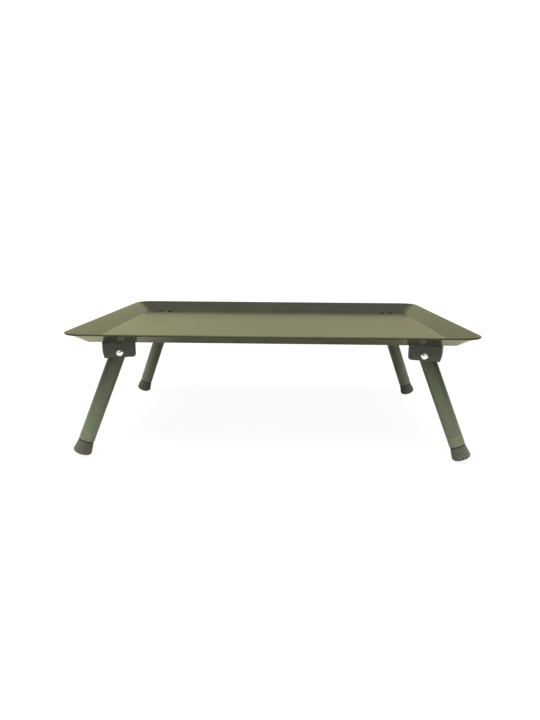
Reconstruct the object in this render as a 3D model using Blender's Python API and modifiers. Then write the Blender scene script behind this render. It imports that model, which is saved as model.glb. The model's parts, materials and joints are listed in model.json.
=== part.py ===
"""Low folding camp table: a pressed sheet tray on four splayed, telescopic legs.

The table stands on its feet at z = 0, centred on the origin, with its long side along X.
Each leg hangs on a rivet between the ears of a pressed bracket under the tray. It folds inward
until it lies flat under the tray, and its lower half slides out of the upper one and is held by
a twist lock: turning the foot drives a cone into a slotted sleeve. All sizes are in metres.
"""

import math

import bmesh
import bpy
from mathutils import Matrix, Vector

# Gap left between pieces that touch on the real table
seat_gap = 0.0003

# Tray: one pressed sheet with a flat floor, sloping walls and a rolled rim
tray_length = 0.480
tray_width = 0.355
tray_depth = 0.013
wall_run = 0.0245
tray_sheet = 0.0008
rim_corner_radius = 0.024
floor_corner_radius = 0.0025
floor_bend_radius = 0.0025
bead_radius = 0.0011
bead_curl_end = math.radians(-130)

# Where the four leg pivots sit under the tray, and how the legs stand
pivot_from_short_rim = 0.055
pivot_from_long_rim = 0.0455
leg_yaw = math.radians(20)
leg_splay = math.radians(22)

# Upper leg tube, measured along the leg from the pivot
leg_diameter = 0.019
leg_wall = 0.0012
leg_tube_reach = 0.1064
folded_leg_clearance = 0.0027

# Bracket: pressed sheet with two ears and a closed outer end
bracket_sheet = 0.0015
bracket_outer_reach = 0.0194
bracket_inner_reach = 0.019
bracket_end_lean = 0.0016
bracket_lean_height = 0.001
bracket_fold_radius = 0.0025
ear_below_pivot = 0.0063
ear_corner_radius = 0.004

# Pivot rivet and the washers beside the tube
pivot_diameter = 0.005
pivot_head_diameter = 0.009
pivot_head_height = 0.0024
pivot_tail_diameter = 0.008
pivot_tail_height = 0.0018
washer_diameter = 0.012
washer_thickness = 0.0008

# Rivets that hold a bracket to the tray
rivet_spacing = 0.0185
rivet_diameter = 0.004
rivet_head_diameter = 0.0085
rivet_head_height = 0.0012
rivet_head_edge = 0.0004
rivet_tail_diameter = 0.0054
rivet_tail_height = 0.0007
rivet_seat_depth = 0.0003

# Lower leg: inner tube, end collar and rubber foot. Reaches are measured from the pivot
inner_tube_wall = 0.001
inner_tube_start = 0.026
collar_length = 0.0108
collar_edge = 0.0004
foot_length = 0.0175
sole_thickness = 0.005
foot_top_diameter = 0.018
foot_diameter = 0.0226
foot_edge_radius = 0.003
rib_count = 22
rib_depth = 0.0005
rib_angle = math.radians(48)

# Twist lock inside the upper tube
lock_start = 0.008
lock_head_drop = 0.001
cone_top_radius = 0.006
cone_foot_radius = 0.0035
cone_length = 0.010
flange_thickness = 0.0012
flange_overhang = 0.0003
plug_length = 0.008
slot_width = 0.0015
slot_length = 0.011

# How finely round shapes are divided, and the least angle that shows as an edge
tray_corner_steps = 6
tube_steps = 24
fastener_steps = 12
head_steps = 16
inner_tube_steps = 18
lock_steps = 12
dome_steps = 3
low_dome_steps = 2
fold_steps = 2
ear_corner_steps = 4
crease_angle = math.radians(35)

# Sizes that follow from the ones above
leg_radius = leg_diameter / 2
leg_bore = leg_radius - leg_wall
inner_tube_radius = leg_bore - seat_gap
inner_tube_bore = inner_tube_radius - inner_tube_wall
pivot_radius = pivot_diameter / 2
web_underside = leg_radius + folded_leg_clearance
web_top = web_underside + bracket_sheet
pivot_drop = web_top + seat_gap
ear_inside = leg_radius + seat_gap + washer_thickness + seat_gap
ear_outside = ear_inside + bracket_sheet
collar_start = leg_tube_reach + seat_gap
collar_end = collar_start + collar_length
foot_start = collar_end + seat_gap
foot_reach = foot_start + foot_length
foot_bore_end = foot_reach - sole_thickness
inner_tube_reach = foot_bore_end - seat_gap
pivot_x = tray_length / 2 - pivot_from_short_rim
pivot_y = tray_width / 2 - pivot_from_long_rim

corners = {
    "front_left": (-1, -1),
    "front_right": (1, -1),
    "back_left": (-1, 1),
    "back_right": (1, 1),
}

for old in list(bpy.data.objects):
    bpy.data.objects.remove(old, do_unlink=True)

parts = bpy.data.collections.new("bivvy_table")
cutters = bpy.data.collections.new("bivvy_table_cutters")
bpy.context.scene.collection.children.link(parts)
bpy.context.scene.collection.children.link(cutters)


def finish(name, color, roughness, metallic=0.0):
    """Make a material from a linear colour."""
    material = bpy.data.materials.new(name)
    material.use_nodes = True
    shader = material.node_tree.nodes["Principled BSDF"]
    shader.inputs["Base Color"].default_value = (*color, 1.0)
    shader.inputs["Roughness"].default_value = roughness
    shader.inputs["Metallic"].default_value = metallic
    return material


def add_part(name, mesh, material, parent=None):
    """Add a named piece that shows a mesh, under an empty where it has one."""
    part = bpy.data.objects.new(name, mesh)
    if not mesh.materials:
        mesh.materials.append(material)
    parts.objects.link(part)
    part.parent = parent
    return part


def add_empty(name, parent=None):
    """Add an empty that stands on a joint's axis."""
    empty = bpy.data.objects.new(name, None)
    empty.empty_display_size = 0.02
    parts.objects.link(empty)
    empty.parent = parent
    return empty


def new_pattern(name, builder=None):
    """Make an object in the cutters' collection, from a bmesh where one is given."""
    mesh = bpy.data.meshes.new(name)
    if builder is not None:
        builder.to_mesh(mesh)
        builder.free()
    pattern = bpy.data.objects.new(name, mesh)
    pattern.hide_render = True
    pattern.display_type = "WIRE"
    cutters.objects.link(pattern)
    return pattern


def turned(name, outline, steps, closed=False):
    """Turn an outline of (radius, height) points about Z. It runs down the outer side."""
    mesh = bpy.data.meshes.new(name)
    count = len(outline)
    edges = [(i, i + 1) for i in range(count - 1)]
    if closed:
        edges.append((count - 1, 0))
    mesh.from_pydata([(radius, 0, height) for radius, height in outline], edges, [])
    pattern = bpy.data.objects.new(name, mesh)
    cutters.objects.link(pattern)
    screw = pattern.modifiers.new("turn", "SCREW")
    screw.steps = steps
    screw.render_steps = steps
    screw.use_merge_vertices = not closed
    screw.merge_threshold = 0.00001
    return pattern


def dome(radius, height, steps):
    """Points of a rounded head from its top on the axis down to its edge."""
    turns = [math.pi / 2 * i / steps for i in range(steps + 1)]
    return [(radius * math.sin(turn), height * math.cos(turn)) for turn in turns]


def rod_cutter(name, radius, length, steps, axis="Z"):
    """A cylinder that cuts a round hole, centred on the origin."""
    builder = bmesh.new()
    bmesh.ops.create_cone(builder, cap_ends=True, segments=steps, radius1=radius,
                          radius2=radius, depth=length)
    cutter = new_pattern(name, builder)
    if axis == "Y":
        cutter.rotation_euler.x = math.radians(90)
    return cutter


def box_cutter(name, size):
    """A box that cuts a slot or trims an end, centred on the origin."""
    builder = bmesh.new()
    bmesh.ops.create_cube(builder, size=1.0)
    bmesh.ops.scale(builder, vec=Vector(size), verts=builder.verts)
    return new_pattern(name, builder)


def cut(target, cutter):
    """Take a cutter away from a piece."""
    boolean = target.modifiers.new(cutter.name, "BOOLEAN")
    boolean.operation = "DIFFERENCE"
    boolean.object = cutter


def made_mesh(pattern):
    """Give the finished mesh of a pattern, and remove the pattern and its cutters."""
    bpy.context.view_layer.update()
    seen = pattern.evaluated_get(bpy.context.evaluated_depsgraph_get())
    mesh = bpy.data.meshes.new_from_object(seen)
    mesh.name = pattern.name
    mesh.shade_smooth()
    mesh.set_sharp_from_angle(angle=crease_angle)
    used = [step.object for step in pattern.modifiers if step.type == "BOOLEAN"]
    for item in used + [pattern]:
        bpy.data.objects.remove(item, do_unlink=True)
    return mesh


def rounded_loop(inset, radius):
    """Points round the tray at a distance inside its rim, with rounded corners."""
    half_x = tray_length / 2 - inset - radius
    half_y = tray_width / 2 - inset - radius
    points = []
    for corner, (side_x, side_y) in enumerate(((1, 1), (-1, 1), (-1, -1), (1, -1))):
        for step in range(tray_corner_steps + 1):
            turn = math.pi / 2 * (corner + step / tray_corner_steps)
            points.append((side_x * half_x + radius * math.cos(turn),
                           side_y * half_y + radius * math.sin(turn)))
    return points


def tray_sections():
    """The tray's visible surface from the floor to the curled edge: (inset, height, radius).

    Heights run down from the rim's top. The wall is the straight line from the floor's edge
    that touches the rolled bead, and the floor's bend is an arc between floor and wall.
    """
    floor_top = tray_sheet - tray_depth
    run_to_bead = wall_run - bead_radius
    rise_to_bead = -bead_radius - floor_top
    slope = (math.atan2(rise_to_bead, run_to_bead)
             + math.asin(bead_radius / math.hypot(run_to_bead, rise_to_bead)))
    bend_start = floor_bend_radius * math.tan(slope / 2)
    sections = []
    bend_steps = 3
    for step in range(bend_steps + 1):
        turn = slope * step / bend_steps
        inset = wall_run + bend_start - floor_bend_radius * math.sin(turn)
        height = floor_top + floor_bend_radius * (1 - math.cos(turn))
        sections.append((inset, height, floor_corner_radius + wall_run - inset))
    bead_steps = 8
    bead_start = math.pi / 2 + slope
    for step in range(bead_steps + 1):
        turn = bead_start + (bead_curl_end - bead_start) * step / bead_steps
        inset = bead_radius * (1 - math.cos(turn))
        height = bead_radius * (math.sin(turn) - 1)
        sections.append((inset, height, rim_corner_radius - inset))
    return sections


def build_tray(rim_height):
    """Loft the sheet through its sections, give it its thickness and drill the rivet holes.

    Each hole has a shallow round seat pressed into the floor, in which the rivet's head lies.
    """
    builder = bmesh.new()
    rings = []
    for inset, height, radius in tray_sections():
        rings.append([builder.verts.new((x, y, height)) for x, y in rounded_loop(inset, radius)])
    builder.faces.new(rings[0])
    count = len(rings[0])
    for inner, outer in zip(rings, rings[1:]):
        for i in range(count):
            j = (i + 1) % count
            builder.faces.new((inner[i], outer[i], outer[j], inner[j]))
    mesh = bpy.data.meshes.new("tray")
    builder.to_mesh(mesh)
    builder.free()
    mesh.shade_smooth()
    mesh.set_sharp_from_angle(angle=crease_angle)
    tray = add_part("tray", mesh, finish("tray_paint", (0.19, 0.20, 0.12), 0.38, 0.2))
    tray.location.z = rim_height
    sheet = tray.modifiers.new("sheet", "SOLIDIFY")
    sheet.thickness = tray_sheet
    sheet.offset = -1
    sheet.use_even_offset = True
    for corner in corners:
        for side in (-1, 1):
            hole = rod_cutter(f"tray_hole_{corner}_{side}", rivet_diameter / 2 + seat_gap,
                              4 * tray_sheet, fastener_steps)
            seat = rod_cutter(f"rivet_seat_{corner}_{side}",
                              rivet_head_diameter / 2 + seat_gap, 2 * rivet_seat_depth,
                              fastener_steps)
            spot = Vector((side * rivet_spacing / 2, 0, pivot_drop + tray_sheet))
            for cutter in (hole, seat):
                cutter.matrix_world = (bracket_frame(corner, rim_height)
                                       @ Matrix.Translation(spot))
                cut(tray, cutter)


def bracket_frame(corner, rim_height):
    """A bracket's frame: on its pivot, with X pointing out to the table's corner."""
    side_x, side_y = corners[corner]
    place = Vector((side_x * pivot_x, side_y * pivot_y, rim_height - tray_depth - pivot_drop))
    yaw = math.atan2(side_y * math.sin(leg_yaw), side_x * math.cos(leg_yaw))
    return Matrix.Translation(place) @ Matrix.Rotation(yaw, 4, "Z")


def leg_tilt():
    """The turn from a bracket's frame to its open leg, which runs down local -Z."""
    return Matrix.Rotation(-leg_splay, 4, "Y")


def bracket_mesh():
    """Press a box open below and inward, round its folds and ear corners, drill its holes.

    The closed end stands upright down to about the pivot and leans in below it.
    """
    builder = bmesh.new()
    bmesh.ops.create_cube(builder, size=1.0)
    length = bracket_outer_reach + bracket_inner_reach
    height = web_top + ear_below_pivot
    bmesh.ops.scale(builder, vec=(length, 2 * ear_outside, height), verts=builder.verts)
    shift = ((bracket_outer_reach - bracket_inner_reach) / 2, 0, web_top - height / 2)
    bmesh.ops.translate(builder, vec=shift, verts=builder.verts)
    openings = [face for face in builder.faces if face.normal.z < -0.9 or face.normal.x < -0.9]
    bmesh.ops.delete(builder, geom=openings, context="FACES")
    everything = builder.verts[:] + builder.edges[:] + builder.faces[:]
    bmesh.ops.bisect_plane(builder, geom=everything, plane_co=(0, 0, bracket_lean_height),
                           plane_no=(0, 0, 1))
    for vert in builder.verts:
        if vert.co.x > 0 and vert.co.z < 0:
            vert.co.x -= bracket_end_lean
    builder.normal_update()
    folds = [edge for edge in builder.edges
             if not edge.is_boundary and edge.calc_face_angle() > math.radians(60)]
    bmesh.ops.bevel(builder, geom=folds, offset=bracket_fold_radius, segments=fold_steps,
                    profile=0.5, affect="EDGES")
    ear_tips = [vert for vert in builder.verts
                if vert.co.z < 0 and abs(vert.co.x + bracket_inner_reach) < seat_gap]
    bmesh.ops.bevel(builder, geom=ear_tips, offset=ear_corner_radius,
                    segments=ear_corner_steps, profile=0.5, affect="VERTICES")
    pattern = new_pattern("bracket", builder)
    sheet = pattern.modifiers.new("sheet", "SOLIDIFY")
    sheet.thickness = bracket_sheet
    sheet.offset = -1
    sheet.use_even_offset = True
    cut(pattern, rod_cutter("pivot_hole", pivot_radius + seat_gap, 4 * ear_outside,
                            fastener_steps, "Y"))
    for side in (-1, 1):
        hole = rod_cutter(f"rivet_hole_{side}", rivet_diameter / 2 + seat_gap,
                          4 * bracket_sheet, fastener_steps)
        hole.location = (side * rivet_spacing / 2, 0, web_top)
        cut(pattern, hole)
    return made_mesh(pattern)


def bracket_rivet_mesh():
    """A bracket's rivet: a low head in its seat on the tray and a shallow tail under the web.

    The tail is low enough for the leg's end to swing past it.
    """
    head_seat = pivot_drop + tray_sheet - rivet_seat_depth + seat_gap
    tail_seat = web_underside - seat_gap
    radius = rivet_diameter / 2
    head_radius = rivet_head_diameter / 2
    crown = dome(head_radius, rivet_head_height - rivet_head_edge, low_dome_steps)
    head = [(r, head_seat + rivet_head_edge + z) for r, z in crown]
    shank = [(head_radius, head_seat), (radius, head_seat), (radius, tail_seat)]
    button = dome(rivet_tail_diameter / 2, rivet_tail_height, low_dome_steps)
    tail = [(r, tail_seat - z) for r, z in button]
    return made_mesh(turned("bracket_rivet", head + shank + tail[::-1], fastener_steps))


def pivot_rivet_mesh():
    """The pivot: a domed head outside one ear, a shank across the leg, a tail on the other."""
    seat = ear_outside + seat_gap
    crown = dome(pivot_head_diameter / 2, pivot_head_height, dome_steps)
    button = dome(pivot_tail_diameter / 2, pivot_tail_height, dome_steps)
    head = [(r, seat + z) for r, z in crown]
    tail = [(r, -seat - z) for r, z in button]
    shank = [(pivot_radius, seat), (pivot_radius, -seat)]
    return made_mesh(turned("pivot_rivet", head + shank + tail[::-1], head_steps))


def pivot_washer_mesh():
    """A washer that keeps the tube off one ear."""
    outer = washer_diameter / 2
    inner = pivot_radius + seat_gap
    half = washer_thickness / 2
    outline = [(outer, half), (outer, -half), (inner, -half), (inner, half)]
    return made_mesh(turned("pivot_washer", outline, fastener_steps, closed=True))


def tube_outline(outer, bore, start, end):
    """A plain tube's outline between two distances down the leg."""
    return [(outer, -start), (outer, -end), (bore, -end), (bore, -start)]


def upper_leg_mesh():
    """The upper tube, with a slanting top end that stops the open leg against the web.

    The end's outer corner meets the web when the leg stands at its splay, and its inner
    corner is short enough to pass under the web as the leg folds.
    """
    stop_height = web_underside - seat_gap
    outer_corner = (stop_height - leg_radius * math.sin(leg_splay)) / math.cos(leg_splay)
    inner_corner = math.sqrt(stop_height ** 2 - leg_radius ** 2)
    outline = tube_outline(leg_radius, leg_bore, -2 * outer_corner, leg_tube_reach)
    pattern = turned("upper_leg", outline, tube_steps, closed=True)
    trim_height = 4 * outer_corner
    trim = box_cutter("leg_end_trim", (4 * leg_radius, 4 * leg_radius, trim_height))
    slant = math.atan2(outer_corner - inner_corner, leg_diameter)
    middle = Vector((0, 0, (outer_corner + inner_corner) / 2))
    tilt = Matrix.Rotation(-slant, 4, "Y")
    trim.matrix_world = (Matrix.Translation(middle) @ tilt
                         @ Matrix.Translation((0, 0, trim_height / 2)))
    cut(pattern, trim)
    cut(pattern, rod_cutter("pivot_bore", pivot_radius + seat_gap, 4 * leg_radius,
                            fastener_steps, "Y"))
    return made_mesh(pattern)


def lower_leg_mesh():
    """The inner tube, which slides in the upper one and ends inside the foot."""
    outline = tube_outline(inner_tube_radius, inner_tube_bore, inner_tube_start,
                           inner_tube_reach)
    return made_mesh(turned("lower_leg", outline, inner_tube_steps, closed=True))


def collar_mesh():
    """A band of the leg's own tube with broken edges, fixed on the inner tube."""
    outline = [
        (leg_radius - collar_edge, -collar_start),
        (leg_radius, -collar_start - collar_edge),
        (leg_radius, -collar_end + collar_edge),
        (leg_radius - collar_edge, -collar_end),
        (leg_bore, -collar_end),
        (leg_bore, -collar_start),
    ]
    return made_mesh(turned("leg_collar", outline, tube_steps, closed=True))


def foot_mesh(name, hand):
    """The rubber foot: a ribbed ring drawn down the leg, turned a little at each step.

    The ring has two points for each rib, the outer one on its crest. Each step down widens
    the ring along the foot's flare and turns it by the ribs' slant, to the left or right as
    hand says. The last steps round the sole, where the ribs run out.
    """
    flare_end = foot_reach - foot_edge_radius
    top_radius = foot_top_diameter / 2
    full_radius = foot_diameter / 2
    side_steps = 5
    edge_steps = 2
    rings = []
    turn = 0.0
    for step in range(side_steps + 1):
        share = step / side_steps
        radius = top_radius + (full_radius - top_radius) * share
        depth = rib_depth if step else 0.0
        rings.append((foot_start + (flare_end - foot_start) * share, radius, depth, turn))
        turn += hand * math.tan(rib_angle) * (flare_end - foot_start) / side_steps / radius
    last_turn = rings[-1][3]
    for step in range(1, edge_steps + 1):
        around = math.pi / 2 * step / edge_steps
        reach = flare_end + foot_edge_radius * math.sin(around)
        radius = full_radius - foot_edge_radius * (1 - math.cos(around))
        rings.append((reach, radius, rib_depth * (1 - step / edge_steps), last_turn))
    bore = inner_tube_radius + seat_gap
    inner_rings = [(foot_start, bore, 0.0, 0.0), (foot_bore_end, bore, 0.0, 0.0)]

    builder = bmesh.new()
    columns = 2 * rib_count

    def ring_verts(reach, radius, depth, phase):
        verts = []
        for i in range(columns):
            around = 2 * math.pi * i / columns + phase
            out = radius - depth * (i % 2)
            verts.append(builder.verts.new((out * math.cos(around), out * math.sin(around),
                                            -reach)))
        return verts

    skins = [ring_verts(*ring) for ring in inner_rings[::-1] + rings]
    builder.faces.new(skins[0])
    builder.faces.new(skins[-1][::-1])
    for upper, lower in zip(skins, skins[1:]):
        for i in range(columns):
            j = (i + 1) % columns
            builder.faces.new((upper[i], lower[i], lower[j], upper[j]))
    mesh = bpy.data.meshes.new(name)
    builder.to_mesh(mesh)
    builder.free()
    mesh.shade_smooth()
    mesh.set_sharp_from_angle(angle=crease_angle)
    return mesh


def lock_cone_mesh():
    """The lock's core: a plug in the inner tube's top, a flange, a stem and a tapered head."""
    head_top = -(lock_start + lock_head_drop)
    cone_foot = head_top - cone_length
    flange_foot = -inner_tube_start + seat_gap
    flange_top = flange_foot + flange_thickness
    flange_radius = inner_tube_radius - flange_overhang
    plug_radius = inner_tube_bore - seat_gap
    outline = [
        (0, head_top),
        (cone_top_radius, head_top),
        (cone_foot_radius, cone_foot),
        (cone_foot_radius, flange_top),
        (flange_radius, flange_top),
        (flange_radius, flange_foot),
        (plug_radius, flange_foot),
        (plug_radius, flange_foot - plug_length),
        (0, flange_foot - plug_length),
    ]
    return made_mesh(turned("lock_cone", outline, lock_steps))


def lock_sleeve_mesh():
    """The slotted sleeve that the cone spreads against the upper tube's bore."""
    outer = leg_bore - seat_gap
    head_top = -(lock_start + lock_head_drop)
    cone_foot = head_top - cone_length
    foot = -inner_tube_start + 2 * seat_gap + flange_thickness
    bore_top = cone_top_radius + seat_gap
    bore_foot = cone_foot_radius + seat_gap
    outline = [
        (outer, -lock_start),
        (outer, foot),
        (bore_foot, foot),
        (bore_foot, cone_foot),
        (bore_top, head_top),
        (bore_top, -lock_start),
    ]
    pattern = turned("lock_sleeve", outline, lock_steps, closed=True)
    for number in range(2):
        slot = box_cutter(f"sleeve_slot_{number}", (4 * outer, slot_width, 2 * slot_length))
        slot.location.z = -lock_start
        slot.rotation_euler.z = math.pi * (0.25 + number / 2)
        cut(pattern, slot)
    return made_mesh(pattern)


foot_meshes = {-1: foot_mesh("foot_left_hand", 1), 1: foot_mesh("foot_right_hand", -1)}
pivot_height = max(-(leg_tilt() @ vert.co).z for vert in foot_meshes[1].vertices)
rim_height = pivot_height + pivot_drop + tray_depth

build_tray(rim_height)

bracket_paint = finish("bracket_paint", (0.035, 0.042, 0.032), 0.42, 0.2)
leg_paint = finish("leg_paint", (0.12, 0.15, 0.10), 0.38, 0.2)
nickel = finish("pivot_rivet_nickel", (0.80, 0.80, 0.78), 0.12, 1.0)
black_steel = finish("bracket_rivet_black", (0.012, 0.012, 0.012), 0.35, 0.6)
nylon = finish("washer_nylon", (0.70, 0.69, 0.64), 0.55)
bare_tube = finish("inner_tube_aluminium", (0.62, 0.63, 0.63), 0.35, 1.0)
rubber = finish("foot_rubber", (0.085, 0.075, 0.065), 0.80)
lock_core = finish("lock_cone_steel", (0.55, 0.55, 0.54), 0.40, 1.0)
lock_nylon = finish("lock_sleeve_nylon", (0.05, 0.05, 0.05), 0.50)

bracket = bracket_mesh()
bracket_rivet = bracket_rivet_mesh()
pivot_rivet = pivot_rivet_mesh()
pivot_washer = pivot_washer_mesh()
upper_leg = upper_leg_mesh()
lower_leg = lower_leg_mesh()
collar = collar_mesh()
lock_cone = lock_cone_mesh()
lock_sleeve = lock_sleeve_mesh()

for corner, (side_x, side_y) in corners.items():
    mount = add_empty(f"mount_{corner}")
    mount.matrix_world = bracket_frame(corner, rim_height)
    add_part(f"bracket_{corner}", bracket, bracket_paint, mount)
    for place, side in (("outer", 1), ("inner", -1)):
        rivet = add_part(f"bracket_rivet_{place}_{corner}", bracket_rivet, black_steel, mount)
        rivet.location.x = side * rivet_spacing / 2

    pivot = add_empty(f"pivot_{corner}", mount)
    pivot.rotation_euler.x = math.radians(-90 * side_x * side_y)
    add_part(f"pivot_rivet_{corner}", pivot_rivet, nickel, pivot)
    for place, side in (("head", 1), ("tail", -1)):
        washer = add_part(f"pivot_washer_{place}_{corner}", pivot_washer, nylon, pivot)
        washer.location.z = side * (leg_radius + seat_gap + washer_thickness / 2)

    fold = add_empty(f"fold_{corner}", mount)
    fold.matrix_local = leg_tilt()
    add_part(f"upper_leg_{corner}", upper_leg, leg_paint, fold)
    slide = add_empty(f"slide_{corner}", fold)
    add_part(f"lock_sleeve_{corner}", lock_sleeve, lock_nylon, slide)
    twist = add_empty(f"twist_{corner}", slide)
    add_part(f"lock_cone_{corner}", lock_cone, lock_core, twist)
    add_part(f"lower_leg_{corner}", lower_leg, bare_tube, twist)
    add_part(f"leg_collar_{corner}", collar, leg_paint, twist)
    add_part(f"foot_{corner}", foot_meshes[side_x], rubber, twist)
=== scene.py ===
"""Low folding camp table: its looks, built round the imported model.

The table is put together below in the order in which it is made: the tray, then the brackets
and their rivets, the legs, the feet and the twist locks. All sizes are in metres, and every
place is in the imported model's frame.
"""

import json
import math

import bmesh
import bpy
from mathutils import Matrix, Vector


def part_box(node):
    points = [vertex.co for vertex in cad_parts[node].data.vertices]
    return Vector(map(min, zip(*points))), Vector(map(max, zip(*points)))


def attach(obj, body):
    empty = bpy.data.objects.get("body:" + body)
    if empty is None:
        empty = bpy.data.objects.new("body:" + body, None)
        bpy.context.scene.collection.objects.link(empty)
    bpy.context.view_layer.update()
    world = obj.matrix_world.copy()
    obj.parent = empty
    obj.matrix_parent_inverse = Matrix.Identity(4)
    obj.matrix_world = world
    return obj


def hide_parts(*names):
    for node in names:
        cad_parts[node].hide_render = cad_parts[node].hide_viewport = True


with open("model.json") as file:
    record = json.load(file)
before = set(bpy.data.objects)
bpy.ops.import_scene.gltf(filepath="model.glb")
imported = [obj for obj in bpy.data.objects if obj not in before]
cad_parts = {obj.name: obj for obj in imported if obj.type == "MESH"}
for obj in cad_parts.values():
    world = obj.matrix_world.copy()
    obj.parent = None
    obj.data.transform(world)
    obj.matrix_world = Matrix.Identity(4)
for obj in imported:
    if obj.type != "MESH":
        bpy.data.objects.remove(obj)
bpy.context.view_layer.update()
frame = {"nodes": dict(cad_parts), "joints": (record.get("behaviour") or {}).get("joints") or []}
bpy.ops.object.select_all(action="DESELECT")


# Camera. It looks over the front rim, a little from the right and slightly down. Its place and
# turns were solved from the straight edges and corners of the table.
rim_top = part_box("tray")[1].z
camera_place = Vector((0.015416, -0.7714652, rim_top + 0.1028405))
camera_pitch, camera_yaw, camera_roll = 0.2148, 0.0264, 0.0061
camera_data = bpy.data.cameras.new("table_camera")
camera_data.sensor_width = 36
camera_data.lens = 27.05
camera_data.clip_start = 0.01
camera = bpy.data.objects.new("table_camera", camera_data)
bpy.context.collection.objects.link(camera)
camera.matrix_world = (Matrix.Translation(camera_place)
                       @ Matrix.Rotation(camera_yaw, 4, "Z")
                       @ Matrix.Rotation(math.pi / 2 - camera_pitch, 4, "X")
                       @ Matrix.Rotation(camera_roll, 4, "Z"))
bpy.context.scene.camera = camera
bpy.context.scene.view_settings.view_transform = "Standard"


# Studio. A white matt paper floor lies under a wide soft light. A dim room has a bright backdrop
# behind the table and a white card in front of it, which show as reflections in its paint. The
# camera itself sees the paper and the room as almost plain white.
paper_front, paper_back, paper_half_width, paper_drop = -0.9, 6.0, 6.0, 0.0003
paper_color, paper_roughness, paper_gloss = (0.94, 0.94, 0.94, 1), 0.9, 0.1
plain_white, paper_white_share = 1.05, 0.88
key_direction, key_color = Vector((0.05, 0.34, -0.94)), (1.0, 0.98, 0.90)
key_strength, key_spread = 4.05, math.radians(54)


def add_node(tree, kind, inputs, **settings):
    """Add a shader node whose inputs each take a value or another node's output."""
    node = tree.nodes.new(f"ShaderNode{kind}")
    for setting, value in settings.items():
        setattr(node, setting, value)
    for slot, value in inputs.items():
        if isinstance(value, bpy.types.NodeSocket):
            tree.links.new(value, node.inputs[slot])
        else:
            node.inputs[slot].default_value = value
    return node


def blend_colors(tree, share, low, high):
    """A colour between two others, each of them plain or another node's output."""
    colors = {slot: color if isinstance(color, bpy.types.NodeSocket) else (*color, 1)
              for slot, color in (("A", low), ("B", high))}
    return add_node(tree, "Mix", {"Factor": share, **colors}, data_type="RGBA").outputs["Result"]


def seen_white(tree, shader, output, share):
    """Let the camera see plain white, in part or in whole, in place of a shader."""
    white = add_node(tree, "Emission", {"Strength": plain_white})
    rays = add_node(tree, "LightPath", {})
    part = add_node(tree, "Math", {0: rays.outputs["Is Camera Ray"], 1: share}, operation="MULTIPLY")
    mixed = add_node(tree, "MixShader",
                     {"Fac": part.outputs[0], 1: shader.outputs[0], 2: white.outputs[0]})
    tree.links.new(mixed.outputs[0], tree.nodes[output].inputs["Surface"])


bpy.ops.mesh.primitive_plane_add(size=1, location=(0, (paper_front + paper_back) / 2, -paper_drop))
bpy.ops.transform.resize(value=(2 * paper_half_width, paper_back - paper_front, 1))
floor = bpy.context.object
floor.name = "studio_floor"
floor_paper = bpy.data.materials.new("studio_paper")
floor_paper.use_nodes = True
floor_shader = floor_paper.node_tree.nodes["Principled BSDF"]
floor_shader.inputs["Base Color"].default_value = paper_color
floor_shader.inputs["Roughness"].default_value = paper_roughness
floor_shader.inputs["Specular IOR Level"].default_value = paper_gloss
seen_white(floor_paper.node_tree, floor_shader, "Material Output", paper_white_share)
floor.data.materials.append(floor_paper)

key_data = bpy.data.lights.new("key_light", "SUN")
key_data.energy = key_strength
key_data.angle = key_spread
key_data.color = key_color
key = bpy.data.objects.new("key_light", key_data)
key.rotation_euler = key_direction.to_track_quat("-Z", "Y").to_euler()
bpy.context.collection.objects.link(key)

# The backdrop's light turns from the horizon's to each band's between two elevations, in
# degrees. It fades overhead, away from its aim, and in a dip to one side: (middle, reach, share).
horizon_light = (0.40, 0.39, 0.18)
backdrop_bands = ((5, 11, (1.20, 1.19, 0.91)), (12, 16, (0.86, 0.85, 0.68)),
                  (16, 25, (1.66, 1.65, 1.37)))
backdrop_end, backdrop_full = 50, 14
backdrop_aim, aim_start, aim_full = (-0.45, 0.80, 0.40), -0.3, 1.0
low_dip, high_dip, dip_change = (-0.07, 0.28, 0.85), (0.05, 0.18, 0.75), (11, 16)
card_light, card_top, card_full = (0.95, 0.95, 0.92), 38, 30
card_side, card_middle = -0.76, -0.90
room_light, ceiling_light, ceiling_start, ceiling_full = (0.12, 0.12, 0.12), (0.25, 0.265, 0.285), 20, 60
ground_share, ground_edge, ground_end = 0.12, -0.05, 0.01

studio = bpy.data.worlds.new("studio")
studio.use_nodes = True
bpy.context.scene.world = studio
sky = studio.node_tree
direction = add_node(sky, "TexCoord", {}).outputs["Generated"]
axes = add_node(sky, "SeparateXYZ", {0: direction}).outputs


def sky_range(value, low, high, low_share=0.0, easing="SMOOTHSTEP"):
    """A step in the sky from one share, at a low value, to 1 at a high one."""
    inputs = {"Value": value, "From Min": low, "From Max": high, "To Min": low_share}
    return add_node(sky, "MapRange", inputs, interpolation_type=easing).outputs["Result"]


def elevation_step(low, high):
    """A smooth step in the sky between two elevations in degrees."""
    return sky_range(axes["Z"], math.sin(math.radians(low)), math.sin(math.radians(high)))


def sky_math(operation, first, second=0.0):
    """One step of arithmetic on one or two values in the sky."""
    return add_node(sky, "Math", {0: first, 1: second}, operation=operation).outputs[0]


def dip(middle, reach, low_share):
    """A soft darker place in the sky, round a middle to the left or right."""
    sideways = sky_math("ABSOLUTE", sky_math("SUBTRACT", axes["X"], middle))
    return sky_range(sideways, 0, reach, low_share)


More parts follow.
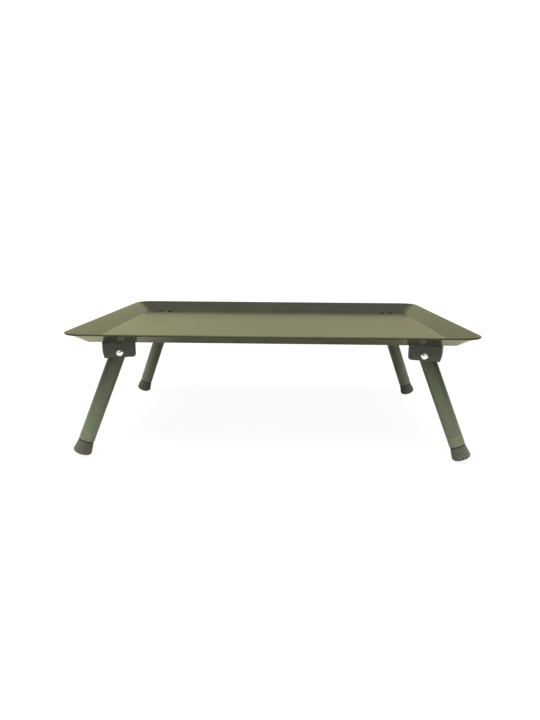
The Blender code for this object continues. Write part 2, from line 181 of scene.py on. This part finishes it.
towards = add_node(sky, "VectorMath", {0: direction, 1: backdrop_aim}, operation="DOT_PRODUCT")
aim_share = sky_range(towards.outputs["Value"], aim_start, aim_full, easing="LINEAR")
dips = blend_colors(sky, elevation_step(*dip_change), dip(*low_dip), dip(*high_dip))
backdrop_shape = sky_math("MULTIPLY", elevation_step(backdrop_end, backdrop_full), dips)
backdrop_color = horizon_light
for low, high, light in backdrop_bands:
    backdrop_color = blend_colors(sky, elevation_step(low, high), backdrop_color, light)
card_share = sky_math("MULTIPLY", elevation_step(card_top, card_full),
                      sky_range(axes["Y"], card_side, card_middle))
room_color = blend_colors(sky, elevation_step(ceiling_start, ceiling_full), room_light, ceiling_light)
room_color = blend_colors(sky, card_share, room_color, card_light)
backdrop_share = sky_math("MULTIPLY", backdrop_shape, aim_share)
sky_color = blend_colors(sky, backdrop_share, room_color, backdrop_color)
sky_shader = sky.nodes["Background"]
sky.links.new(sky_color, sky_shader.inputs["Color"])
sky.links.new(sky_range(axes["Z"], ground_edge, ground_end, ground_share), sky_shader.inputs["Strength"])
seen_white(sky, sky_shader, "World Output", 1)


# Tray. One sheet of steel, 0.8 mm thick, pressed into a flat floor with four sloping walls. Its
# edge is rolled outward into a small bead. Semi-gloss olive paint with a fine metallic flake; the
# bead's outer side has a darker copy of it, a painted shade.
tray_length, tray_width = 0.480, 0.355
tray_depth = 0.013
tray_sheet = 0.0008
wall_run = 0.0245
rim_corner_radius, floor_corner_radius = 0.024, 0.0025
floor_bend_radius = 0.0025
floor_inset = 0.0012
bead_radius = 0.0011
bead_curl_end = math.radians(-130)
tray_corner_steps = 16
bend_steps, bead_steps = 5, 12


def pick(piece, kind, test):
    """Select those vertices, edges or faces of the piece being edited that pass a test."""
    bpy.context.tool_settings.mesh_select_mode = [kind == mode for mode in ("verts", "edges", "faces")]
    mesh = bmesh.from_edit_mesh(piece.data)
    mesh.verts.index_update()
    mesh.normal_update()
    for items in (mesh.faces, mesh.edges, mesh.verts):
        for item in items:
            item.select_set(False)
    for item in getattr(mesh, kind):
        if test(item):
            item.select_set(True)
    mesh.select_flush_mode()
    bmesh.update_edit_mesh(piece.data)


def finish_mesh(piece, crease=math.radians(32), merge_distance=0.000005):
    """Merge doubles, turn the faces outward, leave edit mode and shade round parts smooth."""
    bpy.ops.mesh.select_all(action="SELECT")
    bpy.ops.mesh.remove_doubles(threshold=merge_distance)
    bpy.ops.mesh.normals_make_consistent(inside=False)
    bpy.ops.object.mode_set(mode="OBJECT")
    bpy.ops.object.shade_smooth_by_angle(angle=crease)


def thicken(piece, thickness, even=True):
    """Give a sheet its thickness, on the inner side of its faces."""
    skin = piece.modifiers.new("sheet", "SOLIDIFY")
    skin.thickness = thickness
    skin.offset = -1
    skin.use_even_offset = even
    bpy.ops.object.modifier_apply(modifier="sheet")


def tray_sections():
    """The tray's upper surface from floor to curled edge: (inset, height, corner radius)."""
    floor_top = tray_sheet - tray_depth
    run_to_bead = wall_run - bead_radius
    rise_to_bead = -bead_radius - floor_top
    slope = (math.atan2(rise_to_bead, run_to_bead)
             + math.asin(bead_radius / math.hypot(run_to_bead, rise_to_bead)))
    bend_start = floor_bend_radius * math.tan(slope / 2)
    sections = []
    for step in range(bend_steps + 1):
        turn = slope * step / bend_steps
        inset = wall_run + bend_start - floor_bend_radius * math.sin(turn)
        height = floor_top + floor_bend_radius * (1 - math.cos(turn))
        sections.append((inset, height, floor_corner_radius + wall_run - inset))
    bead_start = math.pi / 2 + slope
    for step in range(bead_steps + 1):
        turn = bead_start + (bead_curl_end - bead_start) * step / bead_steps
        inset = bead_radius * (1 - math.cos(turn))
        sections.append((inset, bead_radius * (math.sin(turn) - 1), rim_corner_radius - inset))
    return sections


def add_tray_outline(inset, height, corner_radius):
    """Add one rounded outline of the tray: a plane at its size, with its corners rounded."""
    bpy.ops.mesh.select_all(action="DESELECT")
    bpy.ops.mesh.primitive_plane_add(size=1, location=(0, 0, rim_top + height))
    bpy.ops.transform.resize(value=(tray_length - 2 * inset, tray_width - 2 * inset, 1),
                             center_override=(0, 0, rim_top + height))
    bpy.ops.mesh.bevel(offset_type="OFFSET", offset=corner_radius, segments=tray_corner_steps,
                       affect="VERTICES")
    bpy.ops.mesh.delete(type="ONLY_FACE")


bpy.ops.mesh.primitive_plane_add(size=1)
tray = bpy.context.object
tray.name = "pressed_tray"
bpy.ops.object.mode_set(mode="EDIT")
bpy.ops.mesh.select_all(action="SELECT")
bpy.ops.mesh.delete(type="VERT")
outline_points = 4 * (tray_corner_steps + 1)
for count, section in enumerate(tray_sections()):
    bpy.context.tool_settings.mesh_select_mode = (True, False, False)
    add_tray_outline(*section)
    if count:
        first = (count - 1) * outline_points
        pick(tray, "edges", lambda edge: len(edge.link_faces) < 2
             and min(vert.index for vert in edge.verts) >= first)
        bpy.ops.mesh.bridge_edge_loops()
pick(tray, "edges", lambda edge: max(vert.index for vert in edge.verts) < outline_points)
bpy.ops.mesh.edge_face_add()
pick(tray, "faces", lambda face: len(face.verts) > 4)
bpy.ops.mesh.inset(thickness=floor_inset)
finish_mesh(tray)
thicken(tray, tray_sheet)
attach(tray, "table")
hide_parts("tray")


def start_finish(name):
    """Start a material. Gives it with its nodes, its shader and the piece's own coordinates."""
    finish = bpy.data.materials.new(name)
    finish.use_nodes = True
    tree = finish.node_tree
    place = add_node(tree, "TexCoord", {}).outputs["Object"]
    return finish, tree, tree.nodes["Principled BSDF"], place


def noise_value(tree, place, scale, detail, stretch=(1, 1, 1)):
    """Noise over a piece, from 0 to 1."""
    mapping = add_node(tree, "Mapping", {"Vector": place, "Scale": stretch})
    noise = {"Vector": mapping.outputs[0], "Scale": scale, "Detail": detail}
    return add_node(tree, "TexNoise", noise).outputs["Fac"]


def spread_value(tree, value, low, high, start=0.3, end=0.7):
    """Spread a value from its own range, as noise mostly has it, to another."""
    inputs = {"Value": value, "From Min": start, "From Max": end, "To Min": low, "To Max": high}
    return add_node(tree, "MapRange", inputs).outputs["Result"]


def add_relief(tree, height, strength, distance, under=None):
    """Fine relief from a value, on its own or over another relief."""
    inputs = {"Height": height, "Strength": strength, "Distance": distance}
    if under is not None:
        inputs["Normal"] = under
    return add_node(tree, "Bump", inputs).outputs["Normal"]


def sheet_paint(name, deep, pale, roughness, flake=0.0, edge_tint=(1, 1, 1), gloss=0.5,
                patch=(9, (1, 1, 1)), relief=1.0, painted_shade=None):
    """Paint on sheet or tube: soft colour patches, fine flake, orange peel and slow waves.

    Flake is the share that reflects as metal does, and edge_tint the colour of that reflection
    at a flat angle. Patch is the scale and stretch of the colour patches. The last argument is
    painted shade: it scales the paint's colour from one height to another.
    """
    fleck_grain, fleck_share, fleck_brightness = 2400, 0.35, 1.25
    gloss_grain, gloss_below, gloss_above = 20, 0.01, 0.015
    peel_grain, peel_strength, peel_height = 700, 0.06, 0.0001
    wave_grain, wave_strength, wave_height = 12, 0.03, 0.002
    finish, tree, shader, place = start_finish(name)
    shader.inputs["Metallic"].default_value = flake
    shader.inputs["Specular Tint"].default_value = (*edge_tint, 1)
    shader.inputs["Specular IOR Level"].default_value = gloss
    patch_grain, patch_stretch = patch
    patches = spread_value(tree, noise_value(tree, place, patch_grain, 2, patch_stretch), 0, 1)
    flecks = spread_value(tree, noise_value(tree, place, fleck_grain, 2), 0, fleck_share)
    bright_fleck = [fleck_brightness * part for part in pale]
    color = blend_colors(tree, flecks, blend_colors(tree, patches, deep, pale), bright_fleck)
    # Painted shade by height: the colour is scaled between two heights.
    if painted_shade:
        height = add_node(tree, "SeparateXYZ", {0: place}).outputs["Z"]
        share = add_node(tree, "MapRange", {"Value": height, **painted_shade}).outputs["Result"]
        color = add_node(tree, "VectorMath", {"Vector": color, "Scale": share},
                         operation="SCALE").outputs["Vector"]
    tree.links.new(color, shader.inputs["Base Color"])
    gloss_patches = noise_value(tree, place, gloss_grain, 3)
    tree.links.new(spread_value(tree, gloss_patches, roughness - gloss_below, roughness + gloss_above),
                   shader.inputs["Roughness"])
    waves = noise_value(tree, place, wave_grain, 1)
    peel = noise_value(tree, place, peel_grain, 1)
    wave_normal = add_relief(tree, waves, wave_strength * relief, wave_height)
    peel_normal = add_relief(tree, peel, peel_strength * relief, peel_height, wave_normal)
    tree.links.new(peel_normal, shader.inputs["Normal"])
    return finish


tray_edge_tint = (0.66, 0.65, 0.525)
tray.data.materials.append(sheet_paint("tray_olive", (0.121, 0.132, 0.094), (0.139, 0.138, 0.107),
                                       0.19, 0.8, tray_edge_tint, relief=0.2))
# Painted shade: a darker copy of the olive paint goes on the faces on the bead's outer side.
tray.data.materials.append(sheet_paint("tray_bead_shade", (0.034, 0.037, 0.026), (0.042, 0.045, 0.032),
                                       0.30, 0.8, tray_edge_tint, relief=0.5))
core_x, core_y = tray_length / 2 - rim_corner_radius, tray_width / 2 - rim_corner_radius
bead_painted_shade_facing = 0.15
for face in tray.data.polygons:
    place = face.center
    core = Vector((min(max(place.x, -core_x), core_x), min(max(place.y, -core_y), core_y), place.z))
    out = place - core
    on_bead = out.length > rim_corner_radius - 2 * bead_radius and place.z > rim_top - 2 * bead_radius
    if on_bead and face.normal.dot(out.normalized()) > bead_painted_shade_facing:
        face.material_index = 1


# Brackets. Each is pressed from 1.5 mm steel into a box that is open below and on its inner side:
# a web under the tray, two ears and a closed outer end. Dark green satin paint.
bracket_sheet = 0.0015
bracket_outer_reach, bracket_inner_reach = 0.0194, 0.019
bracket_end_lean, bracket_lean_height = 0.0016, 0.001
bracket_fold_radius, bracket_fold_steps = 0.0025, 6
ear_below_pivot, ear_corner_radius, ear_corner_steps = 0.0063, 0.004, 8
ear_outside = 0.0124
web_top = 0.0137
seat_gap = 0.0003
bracket_edge = 0.0003
corners = ("front_left", "front_right", "back_left", "back_right")
joints = {joint["name"]: joint for joint in frame["joints"]}


def bracket_place(corner):
    """A bracket's frame: on its leg's pivot, with X pointing out to the table's corner."""
    pivot = Vector(joints[f"fold_{corner}"]["pos_m"])
    down_leg = Vector(joints[f"slide_{corner}"]["axis"])
    out = Vector((down_leg.x, down_leg.y, 0)).normalized()
    across = Vector((0, 0, 1)).cross(out)
    turn = Matrix((out, across, Vector((0, 0, 1)))).transposed()
    return Matrix.Translation(pivot) @ turn.to_4x4()


def set_in_place(pattern, name, places, body, node):
    """Copy a finished pattern to each place, with its own mesh, and remove the pattern."""
    for spot, place in places.items():
        piece = pattern.copy()
        piece.data = pattern.data.copy()
        piece.data.transform(place)
        piece.name = f"{name}_{spot}"
        bpy.context.collection.objects.link(piece)
        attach(piece, body if body == "table" else f"{body}_{spot}")
        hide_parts(f"{node}_{spot}")
    bpy.data.objects.remove(pattern, do_unlink=True)


def soften_edges(piece, width, sharp=math.radians(40)):
    """Round a piece's sharp edges by a small amount."""
    soft = piece.modifiers.new("soft_edges", "BEVEL")
    soft.width = width
    soft.segments = 2
    soft.limit_method = "ANGLE"
    soft.angle_limit = sharp
    soft.harden_normals = False
    bpy.ops.object.modifier_apply(modifier="soft_edges")


bracket_length, bracket_height = bracket_outer_reach + bracket_inner_reach, web_top + ear_below_pivot
bracket_middle = (bracket_outer_reach - bracket_inner_reach) / 2
facing, fold_angle = 0.9, math.radians(60)
bpy.ops.object.select_all(action="DESELECT")
bpy.ops.mesh.primitive_cube_add(size=1)
bracket = bpy.context.object
bracket.name = "bracket_pattern"
bpy.ops.object.mode_set(mode="EDIT")
bpy.ops.transform.resize(value=(bracket_length, 2 * ear_outside, bracket_height),
                         center_override=(0, 0, 0))
bpy.ops.transform.translate(value=(bracket_middle, 0, web_top - bracket_height / 2))
pick(bracket, "faces", lambda face: face.normal.z < -facing or face.normal.x < -facing)
bpy.ops.mesh.delete(type="FACE")
bpy.ops.mesh.select_all(action="SELECT")
bpy.ops.mesh.bisect(plane_co=(0, 0, bracket_lean_height), plane_no=(0, 0, 1))
pick(bracket, "verts", lambda vert: vert.co.x > 0 and vert.co.z < 0)
bpy.ops.transform.translate(value=(-bracket_end_lean, 0, 0))
pick(bracket, "edges", lambda edge: not edge.is_boundary and edge.calc_face_angle() > fold_angle)
bpy.ops.mesh.bevel(offset=bracket_fold_radius, segments=bracket_fold_steps, affect="EDGES")
pick(bracket, "verts", lambda vert: vert.co.z < 0
     and abs(vert.co.x + bracket_inner_reach) < seat_gap)
bpy.ops.mesh.bevel(offset=ear_corner_radius, segments=ear_corner_steps, affect="VERTICES")
finish_mesh(bracket)
thicken(bracket, bracket_sheet)
soften_edges(bracket, bracket_edge)
bracket.data.materials.append(sheet_paint("bracket_dark_green", (0.036, 0.040, 0.032),
                                          (0.050, 0.055, 0.044), 0.38, gloss=0.3))
bracket_places = {corner: bracket_place(corner) for corner in corners}
set_in_place(bracket, "folded_bracket", bracket_places, "table", "bracket")


# Bracket rivets. Two black steel rivets hold each bracket: a low round head lies in the tray, and
# a shallow tail is pressed out under the web, low enough for the leg's end to swing past it.
rivet_spacing = 0.0185
rivet_radius, rivet_head_radius, rivet_tail_radius = 0.002, 0.00425, 0.0027
rivet_head_height, rivet_head_edge, rivet_tail_height = 0.0012, 0.0004, 0.0007
rivet_sides, rivet_head_steps, rivet_tail_steps = 40, 8, 6
head_seat = web_top + seat_gap + tray_sheet
tail_seat = web_top - bracket_sheet


def drawn_round(name, outline, sides, closed=False):
    """Draw a round piece ring by ring along its outline of (radius, height) points."""
    bpy.ops.object.select_all(action="DESELECT")
    radius, height = outline[0]
    bpy.ops.mesh.primitive_circle_add(vertices=sides, radius=radius)
    piece = bpy.context.object
    piece.name = name
    bpy.ops.object.mode_set(mode="EDIT")
    bpy.ops.transform.translate(value=(0, 0, height))
    for next_radius, next_height in outline[1:]:
        rise = (0, 0, next_height - height)
        bpy.ops.mesh.extrude_region_move(TRANSFORM_OT_translate={"value": rise})
        ratio = next_radius / radius
        bpy.ops.transform.resize(value=(ratio, ratio, 1), center_override=(0, 0, next_height))
        radius, height = next_radius, next_height
    if closed:
        pick(piece, "edges", lambda edge: edge.is_boundary)
        bpy.ops.mesh.bridge_edge_loops()
    else:
        bpy.ops.mesh.select_all(action="SELECT")
        bpy.ops.mesh.fill_holes(sides=0)
    finish_mesh(piece)
    return piece


def dome(radius, height, seat, steps, top_share=0.02):
    """Points of a rounded head from near its top down to its edge, which lies at the seat."""
    turns = [math.pi / 2 * step / steps for step in range(1, steps + 1)]
    crown = [(radius * math.sin(turn), seat + height * math.cos(turn)) for turn in turns]
    return [(radius * top_share, seat + height)] + crown


def grained_finish(name, deep, pale, roughness, spread, patches, grain, relief, metallic=0.0, gloss=0.5):
    """Metal, plastic or rubber: soft shade patches, and a fine grain in its gloss and relief.

    Patches and grain each give a noise's scale and detail, and relief its strength and height.
    """
    finish, tree, shader, place = start_finish(name)
    shader.inputs["Metallic"].default_value = metallic
    shader.inputs["Specular IOR Level"].default_value = gloss
    shade = blend_colors(tree, noise_value(tree, place, *patches), deep, pale)
    fine = noise_value(tree, place, *grain)
    tree.links.new(shade, shader.inputs["Base Color"])
    tree.links.new(spread_value(tree, fine, roughness - spread, roughness + spread, 0, 1),
                   shader.inputs["Roughness"])
    tree.links.new(add_relief(tree, fine, *relief), shader.inputs["Normal"])
    return finish


def fine_metal(name, color, roughness, spread, grain, metallic=1.0, gloss=0.5):
    """Plated, blackened or bare metal: slight tarnish in soft patches and fine scratches."""
    tarnish_share, scratch_strength, scratch_depth = 0.82, 0.1, 0.00005
    tarnished = [tarnish_share * part for part in color]
    return grained_finish(name, tarnished, color, roughness, spread, (160, 4), (grain, 6),
                          (scratch_strength, scratch_depth), metallic, gloss)


head = dome(rivet_head_radius, rivet_head_height - rivet_head_edge, head_seat + rivet_head_edge,
            rivet_head_steps)
shank = [(rivet_head_radius, head_seat), (rivet_radius, head_seat), (rivet_radius, tail_seat)]
tail = dome(rivet_tail_radius, -rivet_tail_height, tail_seat, rivet_tail_steps)[::-1]
black_rivet = drawn_round("bracket_rivet_pattern", head + shank + tail, rivet_sides)
black_rivet.data.materials.append(fine_metal("rivet_black", (0.010, 0.010, 0.010), 0.62, 0.06, 1400,
                                             metallic=0.0, gloss=0.12))
rivet_places = {f"{side}_{corner}": place @ Matrix.Translation((way * rivet_spacing / 2, 0, 0))
                for side, way in (("outer", 1), ("inner", -1))
                for corner, place in bracket_places.items()}
set_in_place(black_rivet, "low_rivet", rivet_places, "table", "bracket_rivet")


# Pivot rivets. A bright plated rivet runs through both ears and the leg. Its domed head is on the
# outer side of the table, and a smaller riveted tail is on the other ear.
pivot_radius = 0.0025
pivot_head_radius, pivot_head_height = 0.0045, 0.0024
pivot_tail_radius, pivot_tail_height = 0.004, 0.0018
pivot_sides, pivot_head_steps, pivot_tail_steps = 48, 12, 10
pivot_seat = ear_outside + seat_gap


def pivot_place(corner):
    """The pivot's frame, with Z along the rivet, pointing to the outer side of the table."""
    place = bracket_places[corner]
    outward = 1 if place.translation.y * place.col[1].y > 0 else -1
    return place @ Matrix.Rotation(-outward * math.pi / 2, 4, "X")


pivot_head = dome(pivot_head_radius, pivot_head_height, pivot_seat, pivot_head_steps)
pivot_shank = [(pivot_radius, pivot_seat), (pivot_radius, -pivot_seat)]
pivot_tail = dome(pivot_tail_radius, -pivot_tail_height, -pivot_seat, pivot_tail_steps)[::-1]
pivot_rivet = drawn_round("pivot_pattern", pivot_head + pivot_shank + pivot_tail, pivot_sides)
pivot_rivet.data.materials.append(fine_metal("rivet_plating", (0.86, 0.86, 0.83), 0.12, 0.05, 900))
pivot_places = {corner: pivot_place(corner) for corner in corners}
set_in_place(pivot_rivet, "domed_pivot", pivot_places, "table", "pivot_rivet")


# Pivot washers. A thin nylon washer on each side keeps the tube off the ears, so that the leg
# folds freely and its paint isn't scraped.
leg_radius = 0.0095
washer_radius, washer_bore, washer_thickness, washer_edge = 0.006, 0.0028, 0.0008, 0.00015
washer_sides = 48
washer_half = washer_thickness / 2
washer_rise = leg_radius + seat_gap + washer_half
washer_outline = [
    (washer_bore, washer_half - washer_edge), (washer_bore + washer_edge, washer_half),
    (washer_radius - washer_edge, washer_half), (washer_radius, washer_half - washer_edge),
    (washer_radius, washer_edge - washer_half), (washer_radius - washer_edge, -washer_half),
    (washer_bore + washer_edge, -washer_half), (washer_bore, washer_edge - washer_half),
]


def moulded(name, deep, pale, roughness, grain, relief_height, gloss=0.5):
    """Moulded plastic or rubber: slight shade changes and a fine even grain."""
    gloss_spread, relief_strength = 0.08, 0.5
    return grained_finish(name, deep, pale, roughness, gloss_spread, (90, 5), (grain, 3),
                          (relief_strength, relief_height), gloss=gloss)


washer = drawn_round("washer_pattern", washer_outline, washer_sides, closed=True)
washer.data.materials.append(moulded("washer_nylon", (0.60, 0.59, 0.54), (0.70, 0.69, 0.64),
                                     0.5, 1500, 0.00003))
washer_places = {f"{side}_{corner}": place @ Matrix.Translation((0, 0, way * washer_rise))
                 for side, way in (("head", 1), ("tail", -1))
                 for corner, place in pivot_places.items()}
set_in_place(washer, "nylon_washer", washer_places, "table", "pivot_washer")


# Upper legs. A 19 mm steel tube with a 1.2 mm wall. Its top end is cut on a slant, so that the
# open leg stops against the bracket's web. Green satin paint, with painted shade that makes it
# darker towards the top and paler towards the foot.
leg_wall = 0.0012
leg_tube_reach = 0.1064
leg_sides = 72
leg_edge = 0.0002
# Painted shade along the leg: its colour is scaled from 0.64 at the top to 1.28 near the foot.
leg_painted_shade = {"From Min": 0.125, "To Min": 0.64, "From Max": 0.035, "To Max": 1.28}


def leg_place(corner):
    """A leg's frame: on its pivot, with the leg running down its local -Z."""
    down_leg = Vector(joints[f"slide_{corner}"]["axis"])
    splay = math.atan2(math.hypot(down_leg.x, down_leg.y), -down_leg.z)
    return bracket_places[corner] @ Matrix.Rotation(-splay, 4, "Y")


leg_splay = math.acos(-joints["slide_front_left"]["axis"][2])
stop_height = web_top - bracket_sheet - seat_gap
outer_corner = (stop_height - leg_radius * math.sin(leg_splay)) / math.cos(leg_splay)
inner_corner = math.sqrt(stop_height ** 2 - leg_radius ** 2)
leg_slant = math.atan2(outer_corner - inner_corner, 2 * leg_radius)
bpy.ops.object.select_all(action="DESELECT")
bpy.ops.mesh.primitive_circle_add(vertices=leg_sides, radius=leg_radius)
upper_leg = bpy.context.object
upper_leg.name = "upper_leg_pattern"
bpy.ops.object.mode_set(mode="EDIT")
bpy.ops.transform.translate(value=(0, 0, -leg_tube_reach))
leg_rise = leg_tube_reach + 2 * stop_height
bpy.ops.mesh.extrude_region_move(TRANSFORM_OT_translate={"value": (0, 0, leg_rise)})
bpy.ops.mesh.select_all(action="SELECT")
bpy.ops.mesh.bisect(plane_co=(0, 0, (outer_corner + inner_corner) / 2),
                    plane_no=(-math.sin(leg_slant), 0, math.cos(leg_slant)), clear_outer=True)
finish_mesh(upper_leg)
thicken(upper_leg, leg_wall, even=False)
soften_edges(upper_leg, leg_edge)
upper_leg.data.materials.append(sheet_paint("leg_green", (0.076, 0.073, 0.047), (0.077, 0.096, 0.060),
                                            0.40, gloss=0.35, patch=(38, (1, 1, 0.35)), painted_shade=leg_painted_shade))
leg_places = {corner: leg_place(corner) for corner in corners}
set_in_place(upper_leg, "painted_tube", leg_places, "leg", "upper_leg")


# Lower legs. A bare aluminium tube that slides in the upper one and carries the band and the
# foot. It is out of sight while the leg is pushed in.
inner_tube_wall, tube_edge = 0.001, 0.0002
inner_tube_start = 0.026
inner_tube_radius = leg_radius - leg_wall - seat_gap
band_length, foot_length, sole_thickness = 0.0108, 0.0175, 0.005
band_end = leg_tube_reach + seat_gap + band_length
foot_start = band_end + seat_gap
foot_reach = foot_start + foot_length
foot_bore_end = foot_reach - sole_thickness
inner_tube_reach = foot_bore_end - seat_gap
tube_bore = inner_tube_radius - inner_tube_wall
tube_outline = [
    (inner_tube_radius - tube_edge, -inner_tube_start),
    (inner_tube_radius, -inner_tube_start - tube_edge),
    (inner_tube_radius, -inner_tube_reach + tube_edge),
    (inner_tube_radius - tube_edge, -inner_tube_reach),
    (tube_bore, -inner_tube_reach),
    (tube_bore, -inner_tube_start),
]
lower_leg = drawn_round("lower_leg_pattern", tube_outline, leg_sides, closed=True)
lower_leg.data.materials.append(fine_metal("bare_aluminium", (0.62, 0.63, 0.63), 0.32, 0.08, 700))
set_in_place(lower_leg, "bare_tube", leg_places, "extension", "lower_leg")


# Leg bands. A short piece of the painted leg tube is fixed on the inner one, over the foot. Its
# paint is a paler copy of the leg's green, painted light. Its upper edge is paler still, partly
# worn where the upper leg closes on it and partly a painted highlight, which shows as a faint line.
band_edge = 0.0004
band_step = 0.3 * band_edge
band_bore = leg_radius - leg_wall
band_top = -leg_tube_reach
band_outline = [
    (leg_radius - band_edge, band_top),
    (leg_radius - band_step, band_top - band_step),
    (leg_radius, band_top - band_edge),
    (leg_radius, -band_end + band_edge),
    (leg_radius - band_step, -band_end + band_step),
    (leg_radius - band_edge, -band_end),
    (band_bore, -band_end),
    (band_bore, band_top),
]
band = drawn_round("band_pattern", band_outline, leg_sides, closed=True)
# Painted light: the band gets a paler copy of the leg's green, for the brighter light low on the leg.
band.data.materials.append(sheet_paint("band_green", (0.112, 0.119, 0.080), (0.113, 0.141, 0.092),
                                       0.40, gloss=0.35, patch=(60, (1, 1, 0.5))))
band.data.materials.append(sheet_paint("band_edge_worn", (0.17, 0.19, 0.14), (0.24, 0.26, 0.19), 0.45))
# The top edge's faces get the paler edge paint: partly wear and partly a painted highlight.
for face in band.data.polygons:
    if face.center.z > band_top - band_edge:
        face.material_index = 1
set_in_place(band, "painted_band", leg_places, "extension", "leg_collar")


# Feet. Grey-brown rubber caps pressed over the inner tubes. Each flares towards the ground and has
# slanting ribs all round, which give grip when the foot is turned to work the twist lock.
foot_top_radius, foot_radius = 0.009, 0.0112
foot_top_edge, foot_edge_radius = 0.0004, 0.0036
foot_bore = inner_tube_radius + seat_gap
foot_flare_end = foot_reach - foot_edge_radius
foot_flare_steps, foot_edge_steps = 14, 5
foot_crease = math.radians(55)
rib_count, rib_depth, columns_per_rib = 22, 0.0005, 6
rib_angle = math.radians(48)
# Painted shade: each foot's grooves, and its top edge down to this depth, are painted nearly black.
foot_top_painted_shade = 0.0007
groove_painted_shade = (0.012, 0.011, 0.010)


def push_grooves(foot, ratio):
    """Push half of one ring's points in, three in every six, to start the grooves."""
    mesh = bmesh.from_edit_mesh(foot.data)
    ring = [vert for vert in mesh.verts if vert.select]
    ring.sort(key=lambda vert: math.atan2(vert.co.y, vert.co.x))
    for count, vert in enumerate(ring):
        if count % columns_per_rib < columns_per_rib / 2:
            vert.co.x *= ratio
            vert.co.y *= ratio
    bmesh.update_edit_mesh(foot.data)


def drawn_foot(name, hand):
    """Draw the foot from the bottom of its bore, over the top edge and down along the flare.

    The ribs start as grooves pushed into the ring just below the top edge. Each later ring is
    turned a little, and the grooves run out where the sole's edge is rounded.
    """
    bpy.ops.object.select_all(action="DESELECT")
    bpy.ops.mesh.primitive_circle_add(vertices=rib_count * columns_per_rib, radius=foot_bore)
    foot = bpy.context.object
    foot.name = name
    bpy.ops.object.mode_set(mode="EDIT")
    bpy.ops.transform.translate(value=(0, 0, -foot_bore_end))

    def next_ring(reach, ratio, turn=0.0):
        """Draw the last ring on to a new reach, widened by a ratio and turned."""
        center = (0, 0, -reach)
        current = min(vert.co.z for vert in bmesh.from_edit_mesh(foot.data).verts if vert.select)
        drop = (0, 0, -reach - current)
        bpy.ops.mesh.extrude_region_move(TRANSFORM_OT_translate={"value": drop})
        bpy.ops.transform.resize(value=(ratio, ratio, 1), center_override=center)
        if turn:
            bpy.ops.transform.rotate(value=turn, orient_axis="Z", center_override=center)

    next_ring(foot_start, 1)
    next_ring(foot_start, (foot_top_radius - foot_top_edge) / foot_bore)
    next_ring(foot_start + foot_top_edge, foot_top_radius / (foot_top_radius - foot_top_edge))
    radius, reach = foot_top_radius, foot_start + foot_top_edge
    flare = foot_flare_end - reach
    for step in range(1, foot_flare_steps + 1):
        share = step / foot_flare_steps
        new_reach = foot_start + foot_top_edge + flare * share
        new_radius = foot_top_radius + (foot_radius - foot_top_radius) * share
        turn = -hand * math.tan(rib_angle) * (new_reach - reach) / new_radius
        next_ring(new_reach, new_radius / radius, turn)
        if step == 1:
            push_grooves(foot, 1 - rib_depth / new_radius)
        radius, reach = new_radius, new_reach
    for step in range(1, foot_edge_steps + 1):
        around = math.pi / 2 * step / foot_edge_steps
        new_radius = foot_radius - foot_edge_radius * (1 - math.cos(around))
        next_ring(foot_flare_end + foot_edge_radius * math.sin(around), new_radius / radius)
        radius = new_radius
    bpy.ops.mesh.select_all(action="SELECT")
    bpy.ops.mesh.fill_holes(sides=0)
    finish_mesh(foot, foot_crease)
    return foot


def mark_painted_groove_shade(foot):
    """Give each point its depth below the ribs' crests, for the painted shade in the grooves.

    The top edge counts as deep, so that it shows as a painted shadow line under the band.
    """
    depths = foot.data.attributes.new("groove", "FLOAT", "POINT")
    for vert, depth in zip(foot.data.vertices, depths.data):
        reach = -vert.co.z
        share = min(max((reach - foot_start) / (foot_flare_end - foot_start), 0), 1)
        crest = foot_top_radius + (foot_radius - foot_top_radius) * share
        under = reach - foot_flare_end
        if under > 0:
            crest -= foot_edge_radius - math.sqrt(max(foot_edge_radius ** 2 - under ** 2, 0))
        depth.value = min(max((crest - math.hypot(vert.co.x, vert.co.y)) / rib_depth, 0), 1)
        if reach < foot_start + foot_top_painted_shade:
            depth.value = 1


rubber = moulded("foot_rubber", (0.165, 0.156, 0.134), (0.20, 0.188, 0.163), 0.7, 1600, 0.00006,
                 gloss=0.2)
rubber_tree = rubber.node_tree
rubber_color = rubber_tree.nodes["Principled BSDF"].inputs["Base Color"]
# The rubber is blended towards near-black by groove depth: painted shade in the grooves and a painted
# shadow line under the band.
groove_shade_share = add_node(rubber_tree, "Attribute", {}, attribute_name="groove").outputs["Fac"]
clean_rubber = rubber_color.links[0].from_socket
rubber_tree.links.new(blend_colors(rubber_tree, groove_shade_share, clean_rubber, groove_painted_shade), rubber_color)
for hand, side in ((1, "left"), (-1, "right")):
    foot = drawn_foot(f"foot_pattern_{side}", hand)
    mark_painted_groove_shade(foot)
    foot.data.materials.append(rubber)
    foot_places = {corner: leg_places[corner] for corner in corners if corner.endswith(side)}
    set_in_place(foot, "rubber_foot", foot_places, "extension", "foot")


# Twist locks. A slotted nylon sleeve lies inside each upper tube, and a plated steel cone on the
# inner tube's end spreads it. They are out of sight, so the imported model's own shapes stay.
lock_finishes = {
    "lock_sleeve": moulded("sleeve_nylon", (0.045, 0.045, 0.045), (0.06, 0.06, 0.06), 0.5,
                           1500, 0.00003),
    "lock_cone": fine_metal("cone_steel", (0.55, 0.55, 0.54), 0.4, 0.08, 900),
}
for corner in corners:
    for node_name, finish in lock_finishes.items():
        lock_mesh = frame["nodes"][f"{node_name}_{corner}"].data
        lock_mesh.materials.clear()
        lock_mesh.materials.append(finish)
